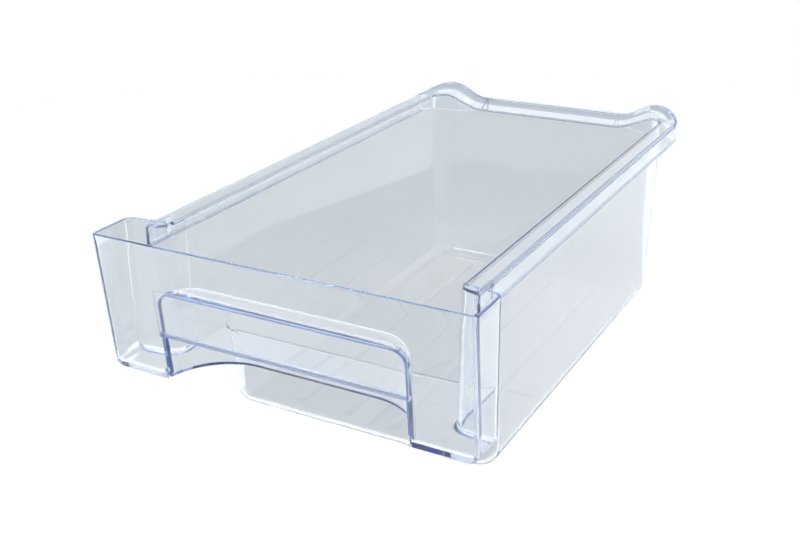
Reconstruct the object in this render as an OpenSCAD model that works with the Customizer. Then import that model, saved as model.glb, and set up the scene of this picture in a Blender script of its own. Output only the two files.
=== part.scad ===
// Clear freezer drawer: a stepped basin, a winged front panel with a finger pocket, and a rim of runner rails.
// Millimetres, +Z up, front towards -Y. The origin is under the middle of the drawer, on the table.

/* [Front panel] */
// Width of the panel along its top edge
panel_w = 270; // [255:1:300]
// Height of the panel's top edge above the table
panel_top = 160; // [150:1:175]
// Height of the panel's bottom edge above the table
panel_bottom = 64; // [56:1:70]
// Wall of the panel and its wings
panel_t = 2.4; // [1.8:0.1:3]
// How far the bottom edge leans back from the top edge
panel_lean = 7; // [3:0.5:10]
// How much each side draws in from top to bottom
panel_taper = 3.5; // [1:0.5:5]
// Depth of the wings, front to back, at their outer end
wing_d = 34; // [31:0.5:36]
// How far a wing's return runs back on its way to the tub
return_slant = 4; // [2:0.5:6]
// Radius between a wing and its return
wing_r = 5; // [3:0.5:7]
// Radius between a return and the tub's side
return_r = 8; // [4:0.5:9]
// Upright corner radius at the top edge
corner_top_r = 3; // [2.5:0.5:5]
// Upright corner radius at the bottom edge
corner_low_r = 9; // [5:0.5:11]
// Radius of the outer bottom corners seen from the front
leg_corner_r = 8; // [3:0.5:12]

/* [Grip] */
// Width of the hand hole in the panel
hole_w = 182; // [160:1:190]
// Height of the hand hole's top edge above the table
hole_top = 128; // [120:1:134]
// Height of the pull plate's lower lip above the table
lip_z = 98; // [92:1:104]
// Radius of the bead along the lip
bead_r = 1.9; // [1.6:0.1:2.4]
// Depth of the finger pocket at its mouth, from the front
pocket_d = 50; // [44:0.5:52]
// Depth of the finger pocket at its roof, from the front
pocket_roof_d = 27; // [22:0.5:32]
// Radius of the pocket's back corners in plan
pocket_r = 28; // [18:1:32]
// Angle at which the pocket's sides slant in towards the back
pocket_angle = 21; // [12:1:28]
// Wall of the pocket
pocket_t = 2; // [1.5:0.1:2.5]
// Radius along the edge of the pocket's roof
roof_r = 5; // [3:0.5:7]
// Width of the flange that seats the pocket on the ledge
flange_w = 4; // [3:0.5:6]

/* [Tub] */
// Depth of the whole drawer
depth = 446; // [400:1:500]
// Width of the tub over its side walls, at the rim
tub_w = 216; // [205:1:226]
// How much each wall draws in from rim to floor
tub_taper = 3.5; // [1:0.5:6]
// Wall of the tub
wall = 2; // [1.6:0.1:2.6]
// Thickness of the floor
floor_t = 2.2; // [1.8:0.1:3]
// Outer radius along the bottom edges
floor_r = 12; // [8:0.5:14]
// Radius of the tub's rear upright corners
rear_r = 17; // [14:1:22]
// Radius of the lower front upright corners
front_r = 14; // [12:0.5:20]
// Distance from the panel's front to the lower front wall
step_y = 86; // [76:1:100]
// Height of the ledge's underside above the panel's bottom edge
ledge_lift = 2.5; // [1.5:0.5:4]
// Thickness of the ledge
ledge_t = 2; // [1.6:0.1:2.6]
// Fall of the ledge towards the basin
ledge_fall = 1; // [0.5:0.1:1.5]
// Number of ribs along the floor
rib_count = 4; // [2:1:6]
// Spacing of the floor ribs
rib_gap = 40; // [24:1:42]
// Width of a floor rib
rib_w = 5; // [3:0.5:7]
// Height of a floor rib
rib_h = 1.2; // [0.6:0.1:1.6]
// Distance from the ends of the ribs to the lower walls
rib_inset = 30; // [16:1:60]

/* [Rim] */
// Width of the rails and the back rim
rail_w = 13; // [11:0.5:16]
// Drop of the rail's top below the panel's top edge
rail_drop = 3; // [2:0.5:5]
// Height of the rail's outer skirt
skirt_h = 14; // [11:0.5:18]
// Wall of the rails and the rim
rail_t = 2; // [1.6:0.1:2.6]
// How far the rail's edge hangs over the inside of the tub
overhang = 0.4; // [0.2:0.1:1.5]
// Height of the rear stops above the rail's top
stop_rise = 8; // [4:0.5:10]
// Drop of the back rim's inner edge below the rail's top
back_drop = 11; // [6:0.5:14]
// Drop of the back rim's outer edge below the rail's top
back_outer_drop = 3.5; // [2:0.5:6]
// Extra drop of the skirt round the rear corners
foot_drop = 4; // [1:0.5:7]
// Length of the rear stop along the back
stop_tail = 28; // [18:1:36]
// Height of the web that holds a rail against the wall
web_h = 5; // [3:0.5:7]
// Thickness of that web
web_t = 1.6; // [1.2:0.1:2]
// Radius of the rail's outer top edge
rail_edge_r = 1.2; // [0.8:0.1:1.5]

/* [Front clips] */
// Length of the clip's tongue
clip_l = 22; // [19:0.5:26]
// Height of the clip's tongue
clip_h = 9; // [7:0.5:10]
// Wall of the tongue
clip_t = 2; // [1.6:0.1:2.2]
// Width of the catch, along the rail
catch_w = 3; // [2.5:0.1:4]
// How far the catch reaches into the skirt's slot
catch_reach = 1.6; // [1:0.1:2]
// Length of the tongue's tip behind the catch
clip_tip = 2; // [1:0.5:3]

/* [Fits] */
// Clearance between pieces that meet edge to edge
gap = 0.15; // [0.1:0.05:0.25]
// Clearance between pieces that slide into each other
slip = 0.3; // [0.2:0.05:0.4]

/* [Hidden] */
clear_blue = [0.80, 0.87, 0.95, 0.45];
clear_edge = [0.55, 0.66, 0.86, 0.6];
eps = 0.01;
extra = 1;
far = 600;
round_fn = 32;
seam_waste = 8;
seam_r = 1;
least_r = 0.5;

// Heights
rail_top = panel_top - rail_drop;
wall_top = rail_top - rail_t;
ledge_z = panel_bottom + ledge_lift;
ledge_top = ledge_z + ledge_t;
skirt_z = rail_top - skirt_h;

// Places along the depth, from the panel's front
rim_y = depth;
back_y = rim_y - rail_w;
seam_y = pocket_d + pocket_t + flange_w + slip;
neck_y = wing_d + return_slant + return_r;
rear_cy = back_y - rear_r;

// Places across the width
tub_half = tub_w / 2;
rear_cx = tub_half - rear_r;
rail_in = tub_half - wall - overhang;
rail_out = tub_half + rail_w;
section_w = rail_out - rail_in;
stop_end_x = rear_cx - stop_tail;
hole_half = hole_w / 2;
pocket_half = hole_half - gap * 2 - pocket_t;

// Draft of the tub walls and lean of the panel at a height
function tub_in(z) = tub_taper * (wall_top - z) / wall_top;
function lean(z) = panel_lean * (panel_top - z) / (panel_top - panel_bottom);
function taper(z) = panel_taper * (panel_top - z) / (panel_top - panel_bottom);
function ease(t) = (1 - cos(180 * min(max(t, 0), 1))) / 2;
function bump(t) = sin(180 * min(max(t, 0), 1)) ^ 2;

// One level of a lofted block: x to either side, y0 to y1, corner radii front and rear
module level(z, half, y0, y1, r0, r1)
    translate([0, 0, z])
        for (side = [-1, 1]) {
            translate([side * (half - r0), y0 + r0, 0])
                cylinder(h = eps, r = r0, $fn = round_fn);
            translate([side * (half - r1), y1 - r1, 0])
                cylinder(h = eps, r = r1, $fn = round_fn);
        }

// Path round the right rear corner: angles 0 to 90, then along the back
stop_turns = 12;
stop_steps = 10;
function stop_point(i) = i <= stop_turns
    ? let (a = 90 * i / stop_turns) [rear_cx, rear_cy, a]
    : [rear_cx - stop_tail * (i - stop_turns) / stop_steps, rear_cy, 90];
function stop_share(i) = i / (stop_turns + stop_steps);

// Heights of the rim's section along that path: inner edge, outer edge, foot of the skirt
inner_start_share = 0.35;
outer_start_share = 0.4;
hump_end_share = 0.95;
function since(t, start_share) = (t - start_share) / (1 - start_share);
function inner_z(t) = rail_top - back_drop * ease(since(t, inner_start_share));
function outer_z(t) = rail_top - back_outer_drop * ease(since(t, outer_start_share))
    + stop_rise * bump(t / hump_end_share);
function foot_z(t) = skirt_z - foot_drop * bump(t);

// Section of the rim: width out from the inner edge, then height. The top swells a little halfway.
swell_share = 0.1;
function rim_section(zi, zo, zf) =
    let (mid = section_w / 2, mid_z = (zi + zo) / 2, swell = (zo - zi) * swell_share, bevel = rail_t / 2)
    [[0, zi], [mid, mid_z + swell], [section_w - bevel, zo], [section_w, zo - bevel], [section_w, zf],
     [section_w - rail_t, zf], [section_w - rail_t, zo - rail_t - bevel], [mid, mid_z - rail_t], [0, zi - rail_t]];

function placed(c, p) = let (r = rear_r - wall - overhang + p[0])
    [c[0] + r * cos(c[2]), c[1] + r * sin(c[2]), p[1]];

// Closed skin through equal sections, which run clockwise seen along the path.
// The flat ends are split into the faces listed in ends.
module skin(rings, ends) {
    n = len(rings[0]);
    last = len(rings) - 1;
    points = [for (ring = rings) for (p = ring) p];
    sides = [for (i = [0 : last - 1]) for (j = [0 : n - 1])
        let (a = i * n + j, b = i * n + (j + 1) % n) each [[a, b + n, b], [a, a + n, b + n]]];
    far_ends = [for (face = ends) [for (j = reversed(face)) last * n + j]];
    polyhedron(points = points, faces = concat(sides, ends, far_ends), convexity = 6);
}

function reversed(list) = [for (i = [len(list) - 1 : -1 : 0]) list[i]];
rim_ends = [[0, 1, 7, 8], [1, 2, 6, 7], [2, 3, 6], [3, 4, 5, 6]];

module rear_rim_sweep()
    skin([for (i = [0 : stop_turns + stop_steps])
        let (c = stop_point(i), t = stop_share(i))
            [for (p = rim_section(inner_z(t), outer_z(t), foot_z(t))) placed(c, p)]], rim_ends);

// Plan of the tub at one level, as [x, y, share of the way round the rear corner]
front_turns = 6;
function half_plan(half, y0, y1, r0, r1) = concat(
    [for (i = [0 : front_turns])
        let (a = -90 + 90 * i / front_turns)
            [half - r0 + r0 * cos(a), y0 + r0 + r0 * sin(a), 0]],
    [for (i = [0 : stop_turns + stop_steps])
        let (c = stop_point(i))
            [half - r1 + r1 * cos(c[2]) + c[0] - rear_cx, y1 - r1 + r1 * sin(c[2]), stop_share(i)]]);
function plan(half, y0, y1, r0, r1) = let (right = half_plan(half, y0, y1, r0, r1))
    concat(right, [for (i = [len(right) - 1 : -1 : 0]) [-right[i][0], right[i][1], right[i][2]]]);
function at_height(points, z) = [for (p = points) [p[0], p[1], z]];
function under_rim(points) = [for (p = points) [p[0], p[1], inner_z(p[2]) - rail_t - gap]];

// Levels of the tub, cut in by a distance from its outer face
function basin_plan(z, cut) = plan(tub_half - tub_in(z) - cut, step_y + tub_in(z) + cut,
    back_y - tub_in(z) - cut, max(front_r - cut, least_r), max(rear_r - cut, least_r));
function upper_plan(z, cut) = plan(tub_half - tub_in(z) - cut, seam_y - seam_waste + cut,
    back_y - tub_in(z) - cut, seam_r, rear_r - cut);
function bottom_edge(cut, z0) = let (r = floor_r - cut)
    [for (a = [0 : 18 : 90]) let (z = z0 + r * (1 - cos(a))) at_height(basin_plan(z, cut + r * (1 - sin(a))), z)];

module tub_shell() {
    levels = concat(
        bottom_edge(0, 0),
        [at_height(basin_plan(ledge_z - ledge_fall, 0), ledge_z - ledge_fall),
         at_height(upper_plan(ledge_z, 0), ledge_z),
         under_rim(upper_plan(wall_top, 0)),
         under_rim(upper_plan(wall_top, wall)),
         at_height(upper_plan(ledge_top, wall), ledge_top),
         at_height(basin_plan(ledge_top - ledge_fall, wall), ledge_top - ledge_fall)],
        reversed(bottom_edge(wall, floor_t)));
    skin(levels, [[for (j = [0 : len(levels[0]) - 1]) j]]);
}

module floor_ribs()
    for (i = [0 : rib_count - 1])
        translate([(i - (rib_count - 1) / 2) * rib_gap, 0, floor_t - eps])
            hull()
                for (y = [step_y + rib_inset, back_y - rib_inset])
                    translate([0, y, 0])
                        cylinder(h = rib_h + eps, r1 = rib_w / 2, r2 = (rib_w - rib_h) / 2, $fn = round_fn / 2);

// The upper part is open in front, where the panel's neck meets it
module tub() color(clear_blue) place() {
    difference() {
        tub_shell();
        translate([-far / 2, seam_y - far, 0])
            cube([far, far, far]);
    }
    floor_ribs();
}

// Outline through corners [x, y, radius], each rounded by an arc that is tangent to both sides
arc_turns = 6;
function unit(v) = v / norm(v);
function turned(v, a) = [v[0] * cos(a) - v[1] * sin(a), v[0] * sin(a) + v[1] * cos(a)];
function flat(p) = [p[0], p[1]];
function corner_arc(before, p, after, r) =
    let (u = unit(before - p), v = unit(after - p),
         half_angle = acos(u * v) / 2,
         centre = p + unit(u + v) * r / sin(half_angle),
         start = p + u * r / tan(half_angle) - centre,
         turn = (cross(u, v) > 0 ? -1 : 1) * (180 - 2 * half_angle))
    [for (i = [0 : arc_turns]) centre + turned(start, turn * i / arc_turns)];
function rounded(corners) = let (n = len(corners))
    [for (i = [0 : n - 1])
        each corner_arc(flat(corners[(i + n - 1) % n]), flat(corners[i]), flat(corners[(i + 1) % n]), corners[i][2])];

// Plan of the winged front at a height, cut in by a wall: face, wings, slanting returns, and the neck to the tub
function front_corners(z, inset) =
    let (half = panel_w / 2 - taper(z) - inset,
         face_r = corner_low_r + (corner_top_r - corner_low_r) * (z - panel_bottom) / (panel_top - panel_bottom),
         neck = tub_half - tub_in(min(z, wall_top)) - inset * wall / panel_t)
    [[half, lean(z) + inset, max(face_r - inset, least_r)],
     [half, wing_d - inset, max(wing_r - inset, least_r)],
     [neck, wing_d + return_slant - inset, return_r + inset],
     [neck, seam_y + seam_waste, least_r]];
function front_plan(z, inset) = let (right = front_corners(z, inset))
    rounded(concat(right, [for (c = reversed(right)) [-c[0], c[1], c[2]]]));

module front_form(inset, z0, z1) {
    rings = [for (z = [z0, z1]) at_height(front_plan(z, inset), z)];
    last = len(rings[0]) - 1;
    skin(rings, [for (j = [0 : (last - 1) / 2 - 1]) [j, j + 1, last - 1 - j, last - j]]);
}

// Everything behind a place along the depth, between two heights
module behind(y, z0, z1)
    translate([-far / 2, y, z0])
        cube([far, far, z1 - z0]);

// Rounds the outer lower corners of the panel, seen from the front
module leg_corners()
    for (side = [0, 1])
        mirror([side, 0, 0])
            translate([panel_w / 2 - panel_taper - leg_corner_r, far / 2, panel_bottom])
                rotate([90, 0, 0])
                    linear_extrude(far)
                        difference() {
                            translate([0, -extra])
                                square([leg_corner_r * 2, leg_corner_r + extra]);
                            translate([0, leg_corner_r - gap])
                                circle(leg_corner_r, $fn = round_fn);
                        }

module front_panel() color(clear_blue) place()
    difference() {
        front_form(0, panel_bottom, panel_top);
        // Hollow above the ledge, and below it
        front_form(panel_t, ledge_top, panel_top + extra);
        front_form(panel_t, panel_bottom - extra, ledge_z);
        // The neck ends at the tub, passes under the rails, and is no deeper than the tub's ledge
        behind(seam_y - gap, 0, panel_top + extra);
        behind(neck_y, wall_top - gap, panel_top + extra);
        behind(neck_y, 0, ledge_z - gap);
        hand_hole();
        pocket_slice(pocket_t + gap, panel_bottom - extra, ledge_top + extra, -extra);
        leg_corners();
    }

module hand_hole()
    translate([-hole_half, -extra, panel_bottom - extra])
        cube([hole_w, panel_lean + panel_t + extra * 2, hole_top - panel_bottom + extra]);

// Plan of the finger pocket at a height: sides slant in towards rounded back corners
function pocket_depth(z) = pocket_d + (pocket_roof_d - pocket_d) * (z - panel_bottom) / (hole_top - panel_bottom);

pocket_turns = 10;
function pocket_side(z, grow, set_back) =
    let (front = lean(z) + panel_t + gap,
         d = pocket_depth(z) + grow,
         r = min(pocket_r, pocket_depth(z) - front - extra) + grow,
         half = pocket_half + grow,
         cx = half - (d - r - front) * tan(pocket_angle) - r / cos(pocket_angle))
    concat([[half - set_back * tan(pocket_angle), front + set_back]], [for (i = [0 : pocket_turns])
        let (a = pocket_angle + (90 - pocket_angle) * i / pocket_turns)
            [cx + r * cos(a), d - r + r * sin(a)]]);

module pocket_level(z, grow, set_back) {
    right = pocket_side(z, grow, set_back);
    translate([0, 0, z])
        linear_extrude(eps)
            polygon(concat(right, [for (p = reversed(right)) [-p[0], p[1]]]));
}

module pocket_slice(grow, z0, z1, set_back)
    hull() {
        pocket_level(z0, grow, set_back);
        pocket_level(z1 - eps, grow, set_back);
    }

// Pocket from its mouth to its rounded roof
module pocket_body(grow, z_mouth, z_roof, set_back)
    hull() {
        pocket_level(z_mouth, grow, set_back);
        for (a = [0 : 30 : 90])
            pocket_level(z_roof - roof_r * (1 - sin(a)) - eps, grow - roof_r * (1 - cos(a)), set_back);
    }

module grip_cup() color(clear_blue) place()
    difference() {
        union() {
            pocket_body(pocket_t, panel_bottom, hole_top, 0);
            pocket_slice(pocket_t + flange_w, ledge_top + gap, ledge_top + gap + pocket_t, flange_w);
        }
        pocket_body(0, panel_bottom - extra, hole_top - pocket_t, -extra);
    }

// Sloping plate in the hand hole. The bead along its lip ends between the pocket's side walls.
module pull_plate() color(clear_blue) place() {
    half = hole_half - gap;
    bead_half = pocket_half - (bead_r * 2 - panel_t) * tan(pocket_angle) - slip;
    hull()
        for (z = [lip_z + bead_r, hole_top - gap])
            translate([-half, lean(z), z - eps])
                cube([half * 2, panel_t, eps]);
    translate([-bead_half, lean(lip_z) + bead_r, lip_z + bead_r])
        rotate([0, 90, 0])
            cylinder(h = bead_half * 2, r = bead_r, $fn = round_fn);
}

// Rail seen from its end, right side: top, outer skirt with a rounded edge, and the web beside the wall
module rail_section() {
    translate([rail_in, wall_top])
        square([section_w - rail_edge_r, rail_t]);
    translate([rail_out - rail_t, skirt_z])
        square([rail_t, skirt_h - rail_edge_r]);
    translate([rail_out - rail_edge_r, rail_top - rail_edge_r])
        circle(rail_edge_r, $fn = round_fn);
    translate([tub_half + slip, wall_top - web_h])
        square([web_t, web_h + eps]);
}

module rail(side) color(clear_edge) place()
    mirror([side < 0 ? 1 : 0, 0, 0])
        difference() {
            translate([0, rear_cy - gap, 0])
                rotate([90, 0, 0])
                    linear_extrude(rear_cy - gap - wing_d)
                        rail_section();
            catch_slot();
            front_fit(slip);
        }

// Room for the panel's wing and return, with a clearance
module front_fit(clearance)
    difference() {
        front_form(-clearance, panel_bottom, panel_top + extra);
        behind(neck_y + clearance, 0, far);
    }

// Slot in the skirt that takes the clip's catch
catch_y = wing_d + clip_l - catch_w - clip_tip;
catch_z = wall_top - slip - clip_h;
module catch_slot()
    translate([rail_out - rail_t - extra, catch_y - slip, catch_z - slip])
        cube([rail_t + extra * 2, catch_w + slip * 2, clip_h + slip]);

module rear_stop(side) color(clear_edge) place()
    mirror([side < 0 ? 1 : 0, 0, 0])
        rear_rim_sweep();

module back_rim() color(clear_edge) place()
    translate([-stop_end_x + gap, 0, 0])
        rotate([90, 0, 90])
            linear_extrude(stop_end_x * 2 - gap * 2)
                translate([back_y - wall - overhang, 0])
                    polygon(rim_section(inner_z(1), outer_z(1), foot_z(1)));

// Tongue from the wing's return into the rail, with a catch in the skirt's slot
module front_clip(side) color(clear_edge) place()
    mirror([side < 0 ? 1 : 0, 0, 0]) {
        x = rail_out - rail_t - slip - clip_t;
        difference() {
            translate([x, wing_d, catch_z])
                cube([clip_t, clip_l, clip_h]);
            front_fit(gap);
        }
        translate([x + clip_t - eps, catch_y, catch_z])
            linear_extrude(clip_h - slip)
                polygon([[0, 0], [slip + catch_reach, 0], [slip + catch_reach, catch_w / 3], [0, catch_w]]);
    }

// Moves the drawer so that the origin lies under its middle
module place()
    translate([0, -depth / 2, 0])
        children();

tub();
front_panel();
pull_plate();
grip_cup();
rail(-1);  // left_rail
rail(1);  // right_rail
rear_stop(-1);  // left_rear_stop
rear_stop(1);  // right_rear_stop
back_rim();
front_clip(-1);  // left_front_clip
front_clip(1);  // right_front_clip
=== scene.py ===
"""Clear freezer drawer: blue-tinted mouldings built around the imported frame, on a plain white ground."""
import math

import bmesh
import bpy
from mathutils import Matrix, Vector
from mathutils.bvhtree import BVHTree


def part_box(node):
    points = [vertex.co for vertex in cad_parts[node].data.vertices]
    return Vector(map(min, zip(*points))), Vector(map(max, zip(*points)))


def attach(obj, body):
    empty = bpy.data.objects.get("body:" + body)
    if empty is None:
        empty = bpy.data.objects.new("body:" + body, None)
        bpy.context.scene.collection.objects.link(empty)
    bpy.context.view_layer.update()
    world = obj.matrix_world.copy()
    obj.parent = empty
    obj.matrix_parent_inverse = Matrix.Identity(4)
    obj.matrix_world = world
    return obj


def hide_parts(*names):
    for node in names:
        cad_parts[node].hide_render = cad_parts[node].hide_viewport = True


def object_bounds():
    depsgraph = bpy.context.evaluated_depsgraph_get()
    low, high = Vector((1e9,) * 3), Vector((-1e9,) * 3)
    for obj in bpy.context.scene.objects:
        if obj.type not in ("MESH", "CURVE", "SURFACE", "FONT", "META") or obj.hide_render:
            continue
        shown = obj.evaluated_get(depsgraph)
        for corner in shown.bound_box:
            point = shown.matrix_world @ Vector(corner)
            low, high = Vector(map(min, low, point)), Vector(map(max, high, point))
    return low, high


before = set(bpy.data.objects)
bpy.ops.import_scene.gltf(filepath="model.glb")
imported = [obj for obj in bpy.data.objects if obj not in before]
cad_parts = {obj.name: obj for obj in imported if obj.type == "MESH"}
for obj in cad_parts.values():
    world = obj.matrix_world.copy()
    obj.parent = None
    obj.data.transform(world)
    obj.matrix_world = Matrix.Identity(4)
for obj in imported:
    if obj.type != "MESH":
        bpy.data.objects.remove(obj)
cad_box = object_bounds()

MM = 0.001

# Sizes that the frame gives, in millimetres; depths are counted from the front panel's top edge
panel_lo, panel_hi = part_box("front_panel")
tub_lo, tub_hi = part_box("tub")
rail_lo, rail_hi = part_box("right_rail")
rim_lo, rim_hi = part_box("back_rim")
plate_lo, plate_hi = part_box("pull_plate")
FRONT = cad_box[0].y
PANEL_HALF = panel_hi.x / MM
PANEL_TOP = panel_hi.z / MM
PANEL_BOTTOM = panel_lo.z / MM
TUB_HALF = tub_hi.x / MM
RAIL_OUT = rail_hi.x / MM
RAIL_IN = rail_lo.x / MM
RAIL_TOP = rail_hi.z / MM
FOOT_LOWER = 1.5
SKIRT_FOOT = rail_lo.z / MM - FOOT_LOWER
SEAM = (tub_lo.y - FRONT) / MM
BACK_WALL = (tub_hi.y - FRONT) / MM
STOP_END = rim_hi.x / MM
HOLE_HALF = plate_hi.x / MM
HOLE_TOP = plate_hi.z / MM
LIP_LOWER = 3.0
LIP = plate_lo.z / MM - LIP_LOWER

# Walls and small forms
PANEL_WALL = 2.4
PANEL_LEAN = 7.0
PANEL_TAPER = 0.2
RIM_WALL = 1.8
RIM_DEPTH = 8.0
FRONT_RADIUS_TOP = 3.0
FRONT_RADIUS_LOW = 3.5
WING_BACK = 34.0
RETURN_END = 38.0
WING_RADIUS = 5.0
RETURN_RADIUS = 8.0
LEG_RADIUS = 8.0
TUB_WALL = 2.0
TUB_TAPER = 3.5
FLOOR_WALL = 2.2
FLOOR_RADIUS = 12.0
REAR_RADIUS = 17.0
STEP_RADIUS = 14.0
STEP = 86.0
STEP_EDGE = 3.0
LEDGE = PANEL_BOTTOM
LEDGE_WALL = 1.6
LEDGE_FILLET = 4.0
RAIL_WALL = 2.0
RAIL_CORNER = 2.8
FOOT_WALL = 1.8
FOOT_DEPTH = 4.0
WALL_FILLET = 1.6
WALL_TOP = RAIL_TOP - RAIL_WALL
POCKET_DEPTH = 46.5
POCKET_ROOF_DEPTH = 27.0
POCKET_RADIUS = 45.0
POCKET_ROOF_RADIUS = 24.0
POCKET_WALL = 2.0
SEAM_WALL = 0.4
SEAM_RUN = 8.0
ROOF_RADIUS = 11.0
LEG_IN = HOLE_HALF - POCKET_WALL
LIP_DEPTH = 5.3
LIP_WALL = 2.6
LIP_ROUND = 0.45 * LIP_WALL
LIP_EDGE = 0.7
LIP_FILLET = 0.8
STOP_RISE = 8.0
BACK_DROP = 11.0
BACK_OUTER_DROP = 3.5
FOOT_DROP = 4.0
STOP_TAIL = 28.0
WELD = 0.02
MERGE = 0.002
NEAR = 0.1
LEAST_RADIUS = 1.0
LEAST_PANEL_RADIUS = 0.6
OVER = 12.0
SOFT_EDGE = 0.5
LEG_EDGE = 1.6
JOINT_EDGE = 0.08
RIB_COUNT = 4
RIB_GAP = 40.0
RIB_WIDTH = 5.0
RIB_HEIGHT = 0.4
RIB_FLANK = 2.5
RIB_INSET = 30.0
RIB_ROOT = 1.0
CLIP_WALL = 2.0
CATCH_START = 5.0
CATCH_CREST = 4.0
CATCH_END = 2.0

# Light that meets a face of the plastic flatter than this stays inside
PLASTIC_INDEX = 1.57
CAUGHT_LIMIT = math.cos(math.asin(1 / PLASTIC_INDEX))
CAUGHT_TILTS = (math.radians(14), math.radians(32))
CAUGHT_TURNS = 8
JOINT_PASSES = 3
PROBE = Vector((0.31, 0.23, 0.92)).normalized()

# Finishes
BODY_TINTS = ((0.965, 0.975, 0.985, 1.0), (0.985, 0.99, 0.995, 1.0))
# Rails, stops and back rim: a darker copy of the body tints, painted shade for their darker look
RIM_SHADED_TINTS = ((0.92, 0.945, 0.97, 1.0), (0.95, 0.965, 0.98, 1.0))
BODY_RIPPLE = 0.02
RIM_RIPPLE = 0.015
RIPPLE_SCALE = 22.0
RIPPLE_HEIGHT = 0.001
HAZE_SCALE = 9.0
HAZE_ROUGHNESS = 0.02
POLISH = 0.005
# Painted shade: deep blue put into the base colour of faces where light stays trapped in the sheet, as at
# cut edges; the shares below set its strength per piece
PAINTED_EDGE_SHADE_BLUE = (0.14, 0.21, 0.42, 1.0)
PAINTED_EDGE_SHADE_SHARES = {
    "front_panel": 0.35,
    "tub": 0.3,
    "pull_plate": 1.6,
    "grip_cup": 1.2,
    "left_rail": 0.6,
    "right_rail": 1.0,
}
OTHER_PAINTED_EDGE_SHADE_SHARE = 0.6
DEPTH_BLUE = (0.25, 0.50, 0.86, 1.0)
DEPTH_DENSITY = 10.0

# Ground, light and camera, in metres and radians
GROUND_RADIUS = 1.0
GROUND_DROP = -0.0004
GROUND_SIDES = 96
GROUND_PAINT = (0.95, 0.95, 0.95, 1.0)
GROUND_GLOW = (0.90, 0.955, 1.0, 1.0)
GROUND_GLOW_SHARE = 0.46
SKY = (0.86, 0.94, 1.0, 1.0)
SKY_STRENGTH = 0.33
SKY_MIRROR_SHARE = 0.65
WHITE = (1.0, 1.0, 1.0, 1.0)
KEY_PLACE = (-0.75, -0.62, 1.35)
KEY_SIZE = 0.2
KEY_POWER = 3.0
KEY_AIM = Vector((0, 0, 0.08))
FLASH_SIZE = 0.012
FLASH_STRENGTH = 95.0
LIGHT_BOUNCES = 96
CAMERA_PLACE = (0.3572, -0.7021, 0.4123)
CAMERA_YAW = 0.5101
CAMERA_PITCH = 0.4001
CAMERA_ROLL = 0.0157
CAMERA_LENS = 50.076
CAMERA_SENSOR = 36.0


def ease(t):
    """Smooth step from 0 to 1."""
    return (1 - math.cos(math.pi * min(max(t, 0), 1))) / 2


def bump(t):
    """Smooth hump that rises from 0 at t = 0 and is back at 0 at t = 1."""
    return math.sin(math.pi * min(max(t, 0), 1)) ** 2


def lean(z):
    """How far the panel's face lies behind its top edge at a height."""
    return PANEL_LEAN * (PANEL_TOP - z) / (PANEL_TOP - PANEL_BOTTOM)


def panel_half(z):
    """Half the panel's width at a height."""
    return PANEL_HALF - PANEL_TAPER * (PANEL_TOP - z) / (PANEL_TOP - PANEL_BOTTOM)


def tub_in(z):
    """How far a tub wall is drawn in at a height."""
    return TUB_TAPER * (WALL_TOP - z) / WALL_TOP


def rounded(corners, steps=6):
    """Closed outline through corners (x, y, radius), each rounded by a tangent arc."""
    points = []
    for i, (x, y, radius) in enumerate(corners):
        here = Vector((x, y))
        back = (Vector(corners[i - 1][:2]) - here).normalized()
        on = (Vector(corners[(i + 1) % len(corners)][:2]) - here).normalized()
        half_angle = math.acos(max(-1.0, min(1.0, back.dot(on)))) / 2
        reach = radius / math.tan(half_angle)
        centre = here + (back + on).normalized() * radius / math.sin(half_angle)
        start = here + back * reach - centre
        end = here + on * reach - centre
        turn = math.atan2(start.x * end.y - start.y * end.x, start.dot(end))
        for k in range(steps + 1):
            spot = centre + Matrix.Rotation(turn * k / steps, 2) @ start
            points.append((spot.x, spot.y))
    return points


def lifted(outline, z):
    """Outline as a ring at one height, or at a height that depends on the point."""
    return [(x, y, z(x, y) if callable(z) else z) for x, y in outline]


def mesh_piece(name, verts, faces):
    """New object from points in millimetres, with depths counted from the front."""
    mesh = bpy.data.meshes.new(name)
    mesh.from_pydata([(x * MM, y * MM + FRONT, z * MM) for x, y, z in verts], [], faces)
    piece = bpy.data.objects.new(name, mesh)
    bpy.context.scene.collection.objects.link(piece)
    form = bmesh.new()
    form.from_mesh(mesh)
    bmesh.ops.remove_doubles(form, verts=form.verts, dist=MERGE * MM)
    face_outwards(form)
    form.to_mesh(mesh)
    form.free()
    return piece


def face_outwards(form):
    """Turns the faces of a closed solid so that they all look out of it."""
    bmesh.ops.recalc_face_normals(form, faces=form.faces)
    if form.calc_volume(signed=True) < 0:
        bmesh.ops.reverse_faces(form, faces=form.faces)


def skin(name, rings):
    """Closed solid through equal rings, with a flat face at either end."""
    count = len(rings[0])
    verts = [point for ring in rings for point in ring]
    faces = [tuple(range(count)), tuple(range(len(verts) - count, len(verts)))]
    for row in range(len(rings) - 1):
        for i in range(count):
            j = (i + 1) % count
            faces.append((row * count + i, row * count + j, (row + 1) * count + j, (row + 1) * count + i))
    return mesh_piece(name, verts, faces)


def block(name, low, high):
    """Plain box used as a cutter."""
    outline = [(low[0], low[1]), (high[0], low[1]), (high[0], high[1]), (low[0], high[1])]
    return skin(name, [lifted(outline, low[2]), lifted(outline, high[2])])


def combine(piece, other, operation):
    """Cuts the other solid from the piece, or joins it on, and removes the other."""
    change = piece.modifiers.new("combine", "BOOLEAN")
    change.object = other
    change.operation = operation
    change.solver = "EXACT"
    bpy.context.view_layer.update()
    graph = bpy.context.evaluated_depsgraph_get()
    made = bpy.data.meshes.new_from_object(piece.evaluated_get(graph))
    piece.modifiers.clear()
    old = piece.data
    piece.data = made
    bpy.data.meshes.remove(old)
    bpy.data.objects.remove(other)


def on_seam(point):
    """True on the joint plane between the tub and the front panel."""
    return abs((point.y - FRONT) / MM - SEAM) < 3 * WELD


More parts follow.
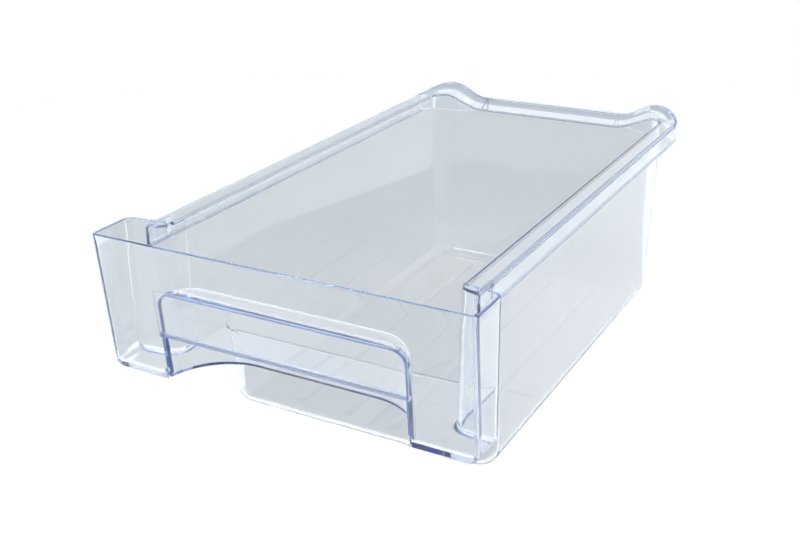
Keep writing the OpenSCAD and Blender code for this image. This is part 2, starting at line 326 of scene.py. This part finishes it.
def edge_width(point):
    """How far an edge is rounded: well at the legs, finely round the pull plate, softly elsewhere."""
    x, y, z = abs(point.x) / MM, (point.y - FRONT) / MM, point.z / MM
    if abs(x - LEG_IN) < NEAR and z < LIP and abs(y - lean(z)) < NEAR:
        return LEG_EDGE
    beside = abs(x - HOLE_HALF) < NEAR and z > LIP - NEAR
    above = abs(z - HOLE_TOP) < NEAR and x < HOLE_HALF + NEAR
    return JOINT_EDGE if above or beside else SOFT_EDGE


def soften(piece, width=None, angle=50):
    """Rounds the sharp edges by a width that depends on the place, and keeps the flats flat."""
    form = bmesh.new()
    form.from_mesh(piece.data)
    bmesh.ops.remove_doubles(form, verts=form.verts, dist=MERGE * MM)
    bmesh.ops.dissolve_degenerate(form, edges=form.edges, dist=MERGE * MM)
    face_outwards(form)
    weight = form.edges.layers.float.new("bevel_weight_edge")
    for line in form.edges:
        if len(line.link_faces) == 2 and line.calc_face_angle() > math.radians(angle):
            joint = all(on_seam(corner.co) for corner in line.verts)
            if width and not joint:
                line[weight] = width((line.verts[0].co + line.verts[1].co) / 2) / LEG_EDGE
            else:
                line.smooth = False
    form.to_mesh(piece.data)
    form.free()
    piece.data.shade_smooth()
    if width:
        edge = piece.modifiers.new("soft edge", "BEVEL")
        edge.width = LEG_EDGE * MM
        edge.segments = 3
        edge.limit_method = "WEIGHT"
        edge.miter_outer = "MITER_ARC"
    even = piece.modifiers.new("flat faces", "WEIGHTED_NORMAL")
    even.mode = "FACE_AREA"
    even.keep_sharp = True


class Form:
    """Closed form of a finished piece, to search for where light goes."""

    def __init__(self, piece):
        bpy.context.view_layer.update()
        graph = bpy.context.evaluated_depsgraph_get()
        made = bpy.data.meshes.new_from_object(piece.evaluated_get(graph))
        piece.modifiers.clear()
        piece.data = made
        made.calc_loop_triangles()
        corners = [point.co for point in made.vertices]
        self.tree = BVHTree.FromPolygons(corners, [tuple(part.vertices) for part in made.loop_triangles])
        self.low = [min(point[i] for point in corners) for i in range(3)]
        self.high = [max(point[i] for point in corners) for i in range(3)]

    def holds(self, point):
        """True where a point lies inside the form."""
        if any(point[i] < self.low[i] or point[i] > self.high[i] for i in range(3)):
            return False
        spot, face, number, reach = self.tree.ray_cast(point, PROBE)
        return face is not None and face.dot(PROBE) > 0


def stays_caught(start, ray, form, forms):
    """True where light in the plastic meets the next free face too flat to leave it."""
    for _ in range(JOINT_PASSES):
        spot, face, number, reach = form.tree.ray_cast(start, ray)
        if face is None:
            return False
        start = spot + ray * 3 * WELD * MM
        joined = [other for other in forms if other is not form and other.holds(start)]
        if not joined:
            return abs(face.dot(ray)) < CAUGHT_LIMIT
        form = joined[0]
    return False


def painted_edge_shade_share(node, point):
    """How strongly the painted blue shade shows on the cut edges of a piece."""
    if node == "front_panel" and abs(abs(point.x) / MM - LEG_IN) < LEG_EDGE and point.z < LIP * MM:
        return 1.0
    if node == "grip_cup" and point.z > (LEDGE + 2 * LEDGE_WALL) * MM:
        return 0.0
    return PAINTED_EDGE_SHADE_SHARES.get(node, OTHER_PAINTED_EDGE_SHADE_SHARE)


def paint_caught_light_shade(piece, node, form, forms):
    """Keeps on each free face how much of the light that enters there stays trapped, as at a cut edge, as
    the share of painted blue shade.
    """
    made = piece.data
    passed = forms if node == "grip_cup" else [form]
    largest = {}
    for part in made.loop_triangles:
        if part.area > largest.get(part.polygon_index, (0.0,))[0]:
            largest[part.polygon_index] = (part.area, part)
    painted_edge_shade = made.attributes.new("painted_edge_shade", "FLOAT", "FACE")
    for index, (area, part) in largest.items():
        middle = sum((made.vertices[i].co for i in part.vertices), Vector()) / 3
        inward = -part.normal
        outside = middle - inward * 2 * WELD * MM
        if any(other.holds(outside) for other in forms if other is not form):
            continue
        start = middle + inward * WELD / 2 * MM
        side = inward.orthogonal().normalized()
        ahead = inward.cross(side)
        kept = 0
        for tilt in CAUGHT_TILTS:
            for k in range(CAUGHT_TURNS):
                a = math.tau * k / CAUGHT_TURNS
                ray = inward * math.cos(tilt) + (side * math.cos(a) + ahead * math.sin(a)) * math.sin(tilt)
                kept += stays_caught(start, ray, form, passed)
        share = painted_edge_shade_share(node, middle) * kept / (len(CAUGHT_TILTS) * CAUGHT_TURNS)
        painted_edge_shade.data[index].value = min(share, 1.0)


def finish_piece(piece, node, material):
    """Puts a piece in its node's place, with its finish."""
    piece.data.materials.clear()
    piece.data.materials.append(material)
    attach(piece, "root")
    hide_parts(node)


# Rim heights along the way round a rear corner, t from the rail's end to the back rim
def inner_z(t):
    """Height of the rim's inner edge."""
    return RAIL_TOP - BACK_DROP * ease((t - 0.35) / 0.65)


def outer_z(t):
    """Height of the rim's outer edge, with the hump of the stop."""
    return RAIL_TOP - BACK_OUTER_DROP * ease((t - 0.4) / 0.6) + STOP_RISE * bump(t / 0.95)


def foot_z(t):
    """Height of the skirt's foot."""
    return SKIRT_FOOT - FOOT_DROP * bump(t)


TURN_SHARE = 12 / 22
REAR_CX = TUB_HALF - REAR_RADIUS
REAR_CY = BACK_WALL - REAR_RADIUS


def rear_share(x, y):
    """How far round the rear corner a point of the tub's rim lies, 0 at the side and 1 at the back rim."""
    across = abs(x) - REAR_CX
    if across > 0:
        turn = math.atan2(max(y - REAR_CY, 0), across) / (math.pi / 2)
        return TURN_SHARE * turn if y > REAR_CY else 0.0
    if y < REAR_CY:
        return 0.0
    return min(TURN_SHARE + (1 - TURN_SHARE) * -across / STOP_TAIL, 1.0)


REAR_STEPS = 14
TAIL_STEPS = 14
CORNER_STEPS = 8


def tub_plan(z, cut, front, front_radius, mark=None):
    """Outline of the tub at a height, cut in from its outer face, with a mark on each side."""
    half = TUB_HALF - tub_in(z) - cut
    back = BACK_WALL - tub_in(z) - cut
    rear = max(REAR_RADIUS - cut, LEAST_RADIUS)
    right = []
    for i in range(CORNER_STEPS + 1):
        a = math.pi / 2 * (i / CORNER_STEPS - 1)
        right.append((half - front_radius * (1 - math.cos(a)), front + front_radius * (1 + math.sin(a))))
    right.append((half, front + front_radius if mark is None else mark))
    for i in range(REAR_STEPS + 1):
        a = math.pi / 2 * i / REAR_STEPS
        right.append((half - rear + rear * math.cos(a), back - rear + rear * math.sin(a)))
    for i in range(1, TAIL_STEPS + 1):
        right.append((half - rear - STOP_TAIL * i / TAIL_STEPS, back))
    return right + [(-x, y) for x, y in reversed(right)]


def make_tub():
    """Basin with a filleted floor, a step out to the ledge, and walls up to the rim."""
    def basin(z, cut):
        return tub_plan(z, cut, STEP + tub_in(z) + cut, max(STEP_RADIUS - cut, LEAST_RADIUS))

    def upper(z, cut, mark):
        return tub_plan(z, cut, SEAM - OVER, LEAST_RADIUS, mark)

    def rim(x, y):
        return inner_z(rear_share(x, y)) - RAIL_WALL + WELD

    def floor_rows(cut, z0):
        radius = FLOOR_RADIUS - cut
        rows = []
        for i in range(8):
            a = math.pi / 2 * i / 7
            z = z0 + radius * (1 - math.cos(a))
            rows.append(lifted(basin(z, cut + radius * (1 - math.sin(a))), z))
        return rows

    def step_rows(cut, z_ledge, radius):
        rows = []
        for i in range(5):
            a = math.pi / 2 * i / 4
            z = z_ledge - radius * (1 - math.sin(a))
            front = STEP + tub_in(z) + cut - radius * (1 - math.cos(a))
            rows.append(lifted(tub_plan(z, cut, front, max(STEP_RADIUS - cut, LEAST_RADIUS)), z))
        return rows

    ledge_top = LEDGE + LEDGE_WALL
    outer_mark = STEP + tub_in(LEDGE) - STEP_EDGE + STEP_RADIUS
    inner_mark = STEP + tub_in(ledge_top) - STEP_EDGE - LEDGE_WALL + STEP_RADIUS
    rings = floor_rows(0, 0) + step_rows(0, LEDGE, STEP_EDGE)
    rings.append(lifted(upper(LEDGE, 0, outer_mark), LEDGE))
    rings.append(lifted(upper(WALL_TOP, 0, outer_mark), rim))
    rings.append(lifted(upper(WALL_TOP, TUB_WALL, inner_mark), rim))
    rings.append(lifted(upper(ledge_top, TUB_WALL, inner_mark), ledge_top))
    rings += list(reversed(step_rows(TUB_WALL, ledge_top, STEP_EDGE + LEDGE_WALL)))
    rings += list(reversed(floor_rows(TUB_WALL, FLOOR_WALL)))
    tub = skin("tub", rings)
    wide, tall = PANEL_HALF + OVER, PANEL_TOP + OVER
    combine(tub, block("front cut", (-wide, -OVER, -OVER), (wide, SEAM, tall)), "DIFFERENCE")
    for i in range(RIB_COUNT):
        x = (i - (RIB_COUNT - 1) / 2) * RIB_GAP
        combine(tub, floor_rib(x), "UNION")
    return tub


def floor_rib(x):
    """Low swell along the floor, with soft flanks and round ends."""
    half = RIB_WIDTH / 2 + RIB_FLANK
    ends = (STEP + RIB_INSET, BACK_WALL - RIB_INSET)

    def outline(inset):
        r = half - inset
        return rounded([(x + r, ends[0] - r, r * 0.98), (x + r, ends[1] + r, r * 0.98),
                        (x - r, ends[1] + r, r * 0.98), (x - r, ends[0] - r, r * 0.98)])

    rows = [lifted(outline(0), FLOOR_WALL - RIB_ROOT)]
    steps = 10
    for i in range(steps + 1):
        share = i / steps * 0.97
        rows.append(lifted(outline(half * share), FLOOR_WALL + 0.01 + RIB_HEIGHT * ease(share)))
    return skin("rib", rows)


def panel_outline(z, inset):
    """Plan of the winged front at a height: front, wings, slanting returns and the neck."""
    half = panel_half(z) - inset
    share = (z - PANEL_BOTTOM) / (PANEL_TOP - PANEL_BOTTOM)
    front_radius = FRONT_RADIUS_LOW + (FRONT_RADIUS_TOP - FRONT_RADIUS_LOW) * share - inset
    neck = TUB_HALF - tub_in(min(z, WALL_TOP)) - inset
    right = [(half, lean(z) + inset, max(front_radius, LEAST_PANEL_RADIUS)),
             (half, WING_BACK - inset, max(WING_RADIUS - inset, LEAST_PANEL_RADIUS)),
             (neck, RETURN_END - inset, RETURN_RADIUS + inset),
             (neck, SEAM + OVER, SOFT_EDGE)]
    return rounded(right + [(-x, y, r) for x, y, r in reversed(right)], steps=8)


def panel_rim(x, y):
    """Height of the panel's top edge: it falls along the neck to pass under the rail."""
    return PANEL_TOP - (PANEL_TOP - WALL_TOP - WELD) * ease((y - RETURN_END + 1) / (RETURN_RADIUS + 1))


def make_front_panel():
    """Leaning front with wings, a ledge inside and a hand hole."""
    ledge_top = LEDGE + LEDGE_WALL
    rings = [lifted(panel_outline(z, 0), z) for z in (PANEL_BOTTOM, ledge_top)]
    middle = RIM_WALL / 2
    steps = 10
    for i in range(steps + 1):
        a = math.pi * i / steps
        rings.append(lifted(panel_outline(PANEL_TOP, middle - middle * math.cos(a)),
                            lambda x, y, a=a: panel_rim(x, y) - middle * (1 - math.sin(a))))
    low = PANEL_TOP - RIM_DEPTH
    rings.append(lifted(panel_outline(low, PANEL_WALL), lambda x, y: panel_rim(x, y) - RIM_DEPTH))
    for i in range(6):
        a = math.pi / 2 * i / 5
        z = ledge_top + LEDGE_FILLET * (1 - math.sin(a))
        rings.append(lifted(panel_outline(z, PANEL_WALL + LEDGE_FILLET * (1 - math.cos(a))), z))
    panel = skin("front_panel", rings)
    wide, tall = PANEL_HALF + OVER, PANEL_TOP + OVER
    combine(panel, block("open end", (-wide, SEAM + WELD, 0), (wide, SEAM + 2 * OVER, tall)), "DIFFERENCE")
    behind = PANEL_LEAN + PANEL_WALL + 1
    for half, low, high in ((LEG_IN, 0, LIP + 1), (HOLE_HALF - WELD, LIP, HOLE_TOP - WELD)):
        combine(panel, block("hand hole", (-half, -OVER, low), (half, behind, high)), "DIFFERENCE")
    heights = (PANEL_BOTTOM - 4, ledge_top + 6)
    combine(panel, pocket_solid("pocket cut", POCKET_WALL - WELD, -2.0, heights), "DIFFERENCE")
    for side in (-1, 1):
        combine(panel, leg_corner(side), "DIFFERENCE")
    return panel


def leg_corner(side):
    """What is cut from a leg's outer bottom corner to round it, seen from the front."""
    x0 = PANEL_HALF - PANEL_TAPER - LEG_RADIUS
    z0 = PANEL_BOTTOM + LEG_RADIUS
    outside, below = x0 + LEG_RADIUS + OVER, PANEL_BOTTOM - OVER
    steps = 10
    shape = []
    for i in range(steps + 1):
        a = math.pi / 2 * i / steps
        shape.append((x0 + LEG_RADIUS * math.sin(a), z0 - LEG_RADIUS * math.cos(a)))
    shape += [(outside, z0), (outside, below), (x0, below)]
    return skin("leg corner", [[(side * x, y, z) for x, z in shape] for y in (-OVER, SEAM + OVER)])


def pocket_height_share(z):
    """How far up the pocket a height lies, 0 at its mouth and 1 at its roof."""
    return (z - PANEL_BOTTOM) / (HOLE_TOP - PANEL_BOTTOM)


def pocket_plan(z, grow, set_back):
    """Plan of the finger pocket: a straight back that runs into the sides in wide arcs."""
    front = lean(z) + PANEL_WALL - WELD
    share = pocket_height_share(z)
    depth = POCKET_DEPTH + (POCKET_ROOF_DEPTH - POCKET_DEPTH) * share + grow
    radius = POCKET_RADIUS + (POCKET_ROOF_RADIUS - POCKET_RADIUS) * share + grow
    half = LEG_IN + grow
    middle = depth - radius
    first = math.asin(max(front - middle, 0.0) / radius)
    cx = half - radius * math.cos(first)
    right = [(half - set_back * math.tan(first), front + set_back)]
    steps, clear = 16, 0.2
    for i in range(steps + 1):
        a = first + (math.pi / 2 - first) * (i + clear) / (steps + clear)
        right.append((cx + radius * math.cos(a), middle + radius * math.sin(a)))
    return right + [(-x, y) for x, y in reversed(right)]


def pocket_solid(name, grow, set_back, heights):
    """Pocket with a flat end at either height."""
    return skin(name, [lifted(pocket_plan(z, grow, set_back), z) for z in heights])


def pocket_form(name, grow, set_back, mouth, roof):
    """Pocket from its mouth to its rounded roof, as one solid."""
    rings = [lifted(pocket_plan(z, grow, set_back), z) for z in (mouth, LEDGE + LEDGE_WALL)]
    radius = ROOF_RADIUS + grow - POCKET_WALL
    for i in range(9):
        a = math.pi / 2 * i / 8
        z = roof - radius * (1 - math.sin(a))
        rings.append(lifted(pocket_plan(z, grow - radius * (1 - math.cos(a)), set_back), z))
    return skin(name, rings)


def cup_envelope():
    """Outside of the pocket towards the panel, where its wall thins out to a fine seam."""
    clear = POCKET_WALL + 1
    low = LEDGE - OVER
    rings = []
    for back, grow in ((-2.0, SEAM_WALL), (0.0, SEAM_WALL), (SEAM_RUN, clear), (POCKET_DEPTH + OVER, clear)):
        half = LEG_IN + grow
        top = HOLE_TOP - POCKET_WALL + grow
        turn = ROOF_RADIUS - POCKET_WALL + grow
        arch = rounded([(-half, low, 0), (-half, top, turn), (half, top, turn), (half, low, 0)], steps=8)
        rings.append([(x, lean(z) + PANEL_WALL + back, z) for x, z in arch])
    return skin("envelope", rings)


def make_grip_cup():
    """Finger pocket behind the plate, open below and in front."""
    cup = pocket_form("grip_cup", POCKET_WALL, 0.0, PANEL_BOTTOM, HOLE_TOP)
    combine(cup, cup_envelope(), "INTERSECT")
    combine(cup, pocket_form("hollow", 0.0, -3.0, PANEL_BOTTOM - 6, HOLE_TOP - POCKET_WALL), "DIFFERENCE")
    return cup


def make_pull_plate():
    """Sloping plate whose lower edge turns back into a rounded lip."""
    top = HOLE_TOP
    lip_top = LIP + LIP_WALL
    lip_front = lean(LIP)
    lip_back = lip_front + LIP_DEPTH
    section = rounded([(lean(top), top, 0),
                       (lean(lip_top), lip_top, 0),
                       (lip_front, LIP, LIP_EDGE),
                       (lip_back, LIP, LIP_ROUND),
                       (lip_back, lip_top, LIP_ROUND),
                       (lean(lip_top) + PANEL_WALL, lip_top, LIP_FILLET),
                       (lean(top) + PANEL_WALL, top, 0)], steps=5)
    return skin("pull_plate", [[(x, y, z) for y, z in section] for x in (-HOLE_HALF, HOLE_HALF)])


def rim_section(zi, zo, zf):
    """Section of the rim as (out from the inner edge, height): sloping top, skirt, rounded edges."""
    width = RAIL_OUT - RAIL_IN
    mid = (zi + zo) / 2
    swell = (zo - zi) * 0.1
    crown = 12.0 if abs(zo - zi) > 0.5 else 0.3
    skirt_in = width - RAIL_WALL
    corners = [(0, zi, 0.6),
               (width / 2, mid + swell, crown),
               (width, zo, 1.3),
               (width, zf, 0.5),
               (skirt_in, zf, 0.5),
               (skirt_in, zo - RAIL_WALL, 0.5),
               (width / 2, mid - RAIL_WALL, 0.3),
               (0, zi - RAIL_WALL, 0.6)]
    return rounded(corners, steps=4)


def make_rail(side):
    """Runner rail: flat top on the tub's wall and an outer skirt, fitted round the panel's return."""
    name = ("left" if side < 0 else "right") + "_rail"
    low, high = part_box(name)
    rear = (high.y - FRONT) / MM
    under = RAIL_TOP - RAIL_WALL
    foot_top = SKIRT_FOOT + FOOT_WALL
    inner = TUB_HALF - TUB_WALL
    width = RAIL_OUT - inner
    wall_side = TUB_WALL - WELD
    skirt_in = width - RAIL_WALL
    foot_in = width - FOOT_DEPTH
    corners = [(0, RAIL_TOP, RAIL_WALL * 0.95),
               (width, RAIL_TOP, RAIL_CORNER),
               (width, foot_top, 0),
               (width, SKIRT_FOOT, 0.6),
               (foot_in, SKIRT_FOOT, 0.6),
               (foot_in, foot_top, 0.6),
               (skirt_in, foot_top, 0.4),
               (skirt_in, under, RAIL_CORNER - RAIL_WALL),
               (wall_side + WALL_FILLET, under, 0.6),
               (wall_side, under - WALL_FILLET, 0),
               (wall_side, under, 0),
               (0, under, 0)]
    section = rounded(corners, steps=6)
    rail = skin(name, [[(side * (inner + w), y, z) for w, z in section] for y in (WING_BACK, rear)])
    end = RETURN_END + RETURN_RADIUS
    rings = []
    for z in (SKIRT_FOOT - OVER, PANEL_TOP):
        rings.append(lifted([(x, min(y, end)) for x, y in panel_outline(z, WELD)], z))
    room = skin("room", rings)
    combine(rail, room, "DIFFERENCE")
    return rail


def make_rear_stop(side):
    """Raised rear corner, swept round the tub's corner and along the back."""
    name = ("left" if side < 0 else "right") + "_rear_stop"
    inner = REAR_RADIUS - TUB_WALL - (TUB_HALF - TUB_WALL - RAIL_IN)
    rings = []
    turns, tail = 24, 16
    for i in range(turns + tail + 1):
        if i <= turns:
            a = math.pi / 2 * i / turns
            share = TURN_SHARE * i / turns
            centre = (REAR_CX, REAR_CY)
        else:
            a = math.pi / 2
            share = TURN_SHARE + (1 - TURN_SHARE) * (i - turns) / tail
            centre = (REAR_CX - STOP_TAIL * (i - turns) / tail, REAR_CY)
        ring = []
        for w, z in rim_section(inner_z(share), outer_z(share), foot_z(share)):
            reach = inner + w
            ring.append((side * (centre[0] + reach * math.cos(a)), centre[1] + reach * math.sin(a), z))
        rings.append(ring)
    return skin(name, rings)


def make_back_rim():
    """Lower stretch of rim between the stops."""
    start = BACK_WALL - TUB_WALL - (TUB_HALF - TUB_WALL - RAIL_IN)
    section = rim_section(inner_z(1), outer_z(1), foot_z(1))
    return skin("back_rim", [[(x, start + w, z) for w, z in section] for x in (-STOP_END, STOP_END)])


def make_clip(side):
    """Tongue that ties the front panel into the rail, with a catch."""
    name = ("left" if side < 0 else "right") + "_front_clip"
    low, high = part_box(name)
    y0, y1 = (low.y - FRONT) / MM, (high.y - FRONT) / MM
    z0, z1 = low.z / MM, high.z / MM
    out = max(abs(low.x), abs(high.x)) / MM
    inner = min(abs(low.x), abs(high.x)) / MM
    face = inner + CLIP_WALL
    outline = [(inner, y0, 0.3),
               (face, y0, 0.3),
               (face, y1 - CATCH_START, 0.2),
               (out, y1 - CATCH_START, 0.3),
               (out, y1 - CATCH_CREST, 0.3),
               (face, y1 - CATCH_END, 0.2),
               (face, y1, 0.3),
               (inner, y1, 0.3)]
    ring = [(side * x, y) for x, y in rounded(outline, steps=3)]
    return skin(name, [lifted(ring, z0), lifted(ring, z1)])


class Shade:
    """A socket of a shader tree. Operators on it add the Math nodes that they stand for."""

    def __init__(self, tree, socket=None):
        self.tree = tree
        self.socket = socket

    def node(self, kind, out=0, settings=None, **inputs):
        """Adds any node: its settings first, then the values or links of its sockets."""
        made = self.tree.nodes.new(kind)
        for key, value in (settings or {}).items():
            setattr(made, key, value)
        for key, value in inputs.items():
            socket = made.inputs[int(key[1:])] if key[0] == "_" else made.inputs[key.replace("_", " ")]
            if isinstance(value, Shade):
                self.tree.links.new(value.socket, socket)
            else:
                socket.default_value = value
        return Shade(self.tree, made.outputs[out] if made.outputs else None)

    def math(self, operation, first, second):
        """Adds one Math node."""
        return self.node("ShaderNodeMath", settings={"operation": operation}, _0=first, _1=second)

    def __add__(self, other):
        return self.math("ADD", self, other)

    __radd__ = __add__

    def __mul__(self, other):
        return self.math("MULTIPLY", self, other)

    __rmul__ = __mul__

    def __sub__(self, other):
        return self.math("SUBTRACT", self, other)

    def __rsub__(self, other):
        return self.math("SUBTRACT", other, self)

    def largest(self, other):
        return self.math("MAXIMUM", self, other)

    def smallest(self, other):
        return self.math("MINIMUM", self, other)


def fresh_tree(owner):
    """Empties a node tree and returns it as a start for shades."""
    owner.use_nodes = True
    owner.node_tree.nodes.clear()
    return Shade(owner.node_tree)


def mixed_colour(tree, factor, first, second):
    """Mix of two colours by a factor."""
    return tree.node("ShaderNodeMix", out=2, settings={"data_type": "RGBA"}, _0=factor, _6=first, _7=second)


def clear_plastic(name, tint, waviness):
    """Polished clear moulding: faint blue body, painted deep blue shade where light stays trapped, and a
    slight ripple.
    """
    material = bpy.data.materials.new(name)
    tree = fresh_tree(material)
    place = tree.node("ShaderNodeTexCoord", out=3)
    ripple = tree.node("ShaderNodeTexNoise", Vector=place, Scale=RIPPLE_SCALE, Detail=1.0)
    haze = tree.node("ShaderNodeTexNoise", Vector=place, Scale=HAZE_SCALE, Detail=3.0)
    normal = tree.node("ShaderNodeBump", Strength=waviness, Distance=RIPPLE_HEIGHT, Height=ripple)
    painted_edge_shade = tree.node("ShaderNodeAttribute", out=2, settings={"attribute_name": "painted_edge_shade"})
    sheet = mixed_colour(tree, haze, tint[0], tint[1])
    # Painted shade: the base colour turns deep blue by the stored share of trapped light
    colour = mixed_colour(tree, painted_edge_shade, sheet, PAINTED_EDGE_SHADE_BLUE)
    sheen = haze * HAZE_ROUGHNESS + POLISH
    surface = tree.node("ShaderNodeBsdfPrincipled", Base_Color=colour, Roughness=sheen, Normal=normal,
                        IOR=PLASTIC_INDEX, Transmission_Weight=1.0)
    inside = tree.node("ShaderNodeVolumeAbsorption", Color=DEPTH_BLUE, Density=DEPTH_DENSITY)
    tree.node("ShaderNodeOutputMaterial", Surface=surface, Volume=inside)
    return material


def ground_material():
    """White ground that still takes the drawer's shadow."""
    material = bpy.data.materials.new("ground")
    tree = fresh_tree(material)
    seen = seen_directly(tree, 1.0)
    lit = tree.node("ShaderNodeBsdfDiffuse", Color=GROUND_PAINT)
    white = tree.node("ShaderNodeEmission", Color=GROUND_GLOW, Strength=1.0)
    mixed = tree.node("ShaderNodeMixShader", _0=seen * GROUND_GLOW_SHARE, _1=lit, _2=white)
    tree.node("ShaderNodeOutputMaterial", Surface=mixed)
    return material


def seen_directly(tree, mirror_share):
    """1 for what is seen straight or through the plastic, a share for mirrored light, 0 on lit surfaces."""
    straight = tree.node("ShaderNodeLightPath", out="Is Camera Ray")
    mirrored = tree.node("ShaderNodeLightPath", out="Is Glossy Ray")
    through = tree.node("ShaderNodeLightPath", out="Is Transmission Ray")
    scattered = tree.node("ShaderNodeLightPath", out="Diffuse Depth")
    return straight.largest(mirrored * mirror_share).largest(through) * (1 - scattered.smallest(1.0))


def make_stage():
    """Ground, white surroundings and soft lamps."""
    edge_points = []
    for i in range(GROUND_SIDES):
        a = math.tau * i / GROUND_SIDES
        edge_points.append((GROUND_RADIUS * math.cos(a), GROUND_RADIUS * math.sin(a), GROUND_DROP))
    mesh = bpy.data.meshes.new("ground")
    mesh.from_pydata(edge_points, [], [tuple(range(GROUND_SIDES))])
    ground = bpy.data.objects.new("ground", mesh)
    bpy.context.scene.collection.objects.link(ground)
    mesh.materials.append(ground_material())

    world = bpy.data.worlds.new("studio")
    bpy.context.scene.world = world
    tree = fresh_tree(world)
    seen = seen_directly(tree, SKY_MIRROR_SHARE)
    soft = tree.node("ShaderNodeBackground", Color=SKY, Strength=SKY_STRENGTH)
    white = tree.node("ShaderNodeBackground", Color=WHITE, Strength=1.0)
    mixed = tree.node("ShaderNodeMixShader", _0=seen, _1=soft, _2=white)
    tree.node("ShaderNodeOutputWorld", Surface=mixed)

    softbox("key", KEY_PLACE, KEY_SIZE, KEY_POWER)
    flash()


def flash():
    """Small lamp at the camera that lights the ground evenly and throws the shadow straight back."""
    data = bpy.data.lights.new("flash", "POINT")
    data.energy = 1.0
    data.shadow_soft_size = FLASH_SIZE
    data.cycles.use_multiple_importance_sampling = False
    tree = fresh_tree(data)
    steady = tree.node("ShaderNodeLightFalloff", out="Constant", Strength=FLASH_STRENGTH)
    reach = tree.node("ShaderNodeLightPath", out="Ray Length")
    glow = tree.node("ShaderNodeEmission", Strength=steady * reach)
    tree.node("ShaderNodeOutputLight", Surface=glow)
    lamp = bpy.data.objects.new("flash", data)
    lamp.location = CAMERA_PLACE
    bpy.context.scene.collection.objects.link(lamp)


def softbox(name, place, size, power):
    """Square soft lamp that faces the drawer."""
    data = bpy.data.lights.new(name, "AREA")
    data.size = size
    data.energy = power
    lamp = bpy.data.objects.new(name, data)
    lamp.location = place
    lamp.rotation_euler = (KEY_AIM - lamp.location).to_track_quat("-Z", "Y").to_euler()
    bpy.context.scene.collection.objects.link(lamp)


def make_camera():
    """Camera at the photograph's place and angle."""
    data = bpy.data.cameras.new("camera")
    data.lens = CAMERA_LENS
    data.sensor_width = CAMERA_SENSOR
    camera = bpy.data.objects.new("camera", data)
    level = math.cos(CAMERA_PITCH)
    ahead = Vector((-math.sin(CAMERA_YAW) * level, math.cos(CAMERA_YAW) * level, -math.sin(CAMERA_PITCH)))
    right = Vector((math.cos(CAMERA_YAW), math.sin(CAMERA_YAW), 0))
    down = ahead.cross(right)
    across = math.cos(CAMERA_ROLL) * right + math.sin(CAMERA_ROLL) * down
    up = math.sin(CAMERA_ROLL) * right - math.cos(CAMERA_ROLL) * down
    turn = Matrix((across, up, -ahead)).transposed().to_4x4()
    camera.matrix_world = Matrix.Translation(CAMERA_PLACE) @ turn
    bpy.context.scene.collection.objects.link(camera)
    bpy.context.scene.camera = camera


make_camera()
make_stage()
scene = bpy.context.scene
scene.view_settings.view_transform = "Standard"
scene.cycles.max_bounces = LIGHT_BOUNCES
scene.cycles.transmission_bounces = LIGHT_BOUNCES
scene.cycles.glossy_bounces = LIGHT_BOUNCES

body = clear_plastic("clear body", BODY_TINTS, BODY_RIPPLE)
# Darker copy of the clear body: painted shade on the rails, stops and back rim
edge = clear_plastic("clear rim painted shade", RIM_SHADED_TINTS, RIM_RIPPLE)

pieces = []
for node, slot, material, make in (
        ("tub", "clear_plastic", body, make_tub),
        ("front_panel", "clear_plastic", body, make_front_panel),
        ("grip_cup", "clear_plastic", body, make_grip_cup),
        ("pull_plate", "clear_plastic", body, make_pull_plate),
        ("back_rim", "clear_rim", edge, make_back_rim)):
    piece = make()
    soften(piece, edge_width)
    pieces.append((piece, node, slot, material))
for side, word in ((-1, "left"), (1, "right")):
    for kind, make in (("rail", make_rail), ("rear_stop", make_rear_stop), ("front_clip", make_clip)):
        piece = make(side)
        soften(piece)
        pieces.append((piece, f"{word}_{kind}", "clear_rim", edge))

forms = [Form(piece) for piece, node, slot, material in pieces]
for form, (piece, node, slot, material) in zip(forms, pieces):
    paint_caught_light_shade(piece, node, form, forms)
    finish_piece(piece, node, material)
